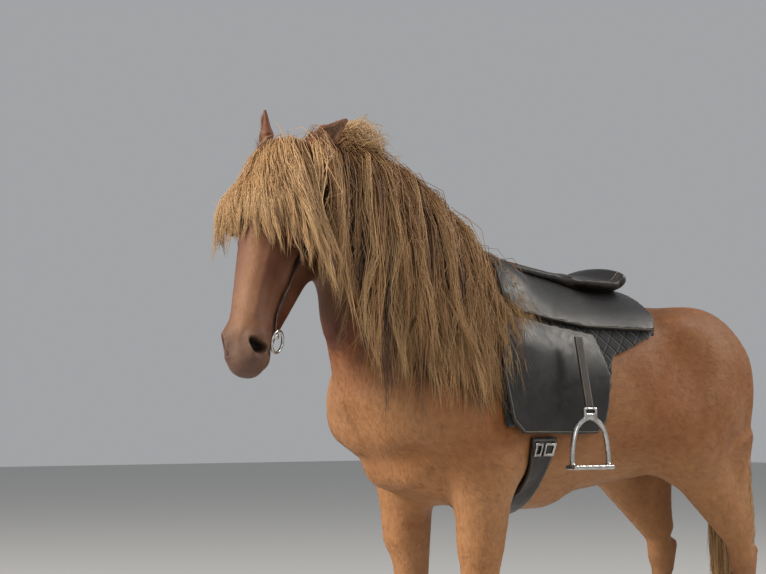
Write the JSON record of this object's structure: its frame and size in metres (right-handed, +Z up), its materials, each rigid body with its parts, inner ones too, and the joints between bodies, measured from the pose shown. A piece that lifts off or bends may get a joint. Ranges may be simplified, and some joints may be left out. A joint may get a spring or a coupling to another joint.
{
  "type": "icelandic horse model",
  "caption": "Life-size still model of an Icelandic horse standing with arched neck and thick mane, saddled and bridled, on flat hooves.",
  "frame": {"origin": "on the ground under the middle of the model's own box", "axes": "+X towards the horse's breast, +Y to its left, +Z up"},
  "size_m": [1.9865, 0.6626, 1.7197],
  "materials": {
    "coat": "short flaxen-chestnut hair, soft sheen",
    "face_coat": "short red-chestnut hair, grey-brown at the muzzle",
    "long_hair": "long flaxen locks over darker brown hair",
    "hoof": "horn, faint growth rings",
    "eye": "wet, dark brown, horizontal pupil",
    "saddle_leather": "smooth black leather, worn to a soft shine",
    "girth_leather": "matt black leather",
    "bridle_leather": "dark narrow strap leather",
    "pad_fabric": "black quilted cotton",
    "metal": "stainless steel, lightly brushed"
  },
  "bodies": {
    "root": {"bit_ring_left": "metal", "bit_ring_right": "metal", "bridle_browband": "bridle_leather", "bridle_cheekpieces": "bridle_leather", "bridle_throatlatch": "bridle_leather", "buckle_left_back": "metal", "buckle_left_front": "metal", "buckle_right_back": "metal", "buckle_right_front": "metal", "ear_left": "face_coat", "ear_right": "face_coat", "eye_left": "eye", "eye_right": "eye", "flap_left": "saddle_leather", "flap_right": "saddle_leather", "forelock": "long_hair", "girth": "girth_leather", "head": "face_coat", "hoof_front_left": "hoof", "hoof_front_right": "hoof", "hoof_hind_left": "hoof", "hoof_hind_right": "hoof", "leg_front_left_lower": "coat", "leg_front_left_upper": "coat", "leg_front_right_lower": "coat", "leg_front_right_upper": "coat", "leg_hind_left_lower": "coat", "leg_hind_left_upper": "coat", "leg_hind_right_lower": "coat", "leg_hind_right_upper": "coat", "mane": "long_hair", "neck": "coat", "panel_left": "saddle_leather", "panel_right": "saddle_leather", "saddle_pad": "pad_fabric", "seat": "saddle_leather", "stirrup_leather_left": "saddle_leather", "stirrup_leather_right": "saddle_leather", "stirrup_left": "metal", "stirrup_right": "metal", "tail": "long_hair", "trunk": "coat"}
  },
  "joints": []
}
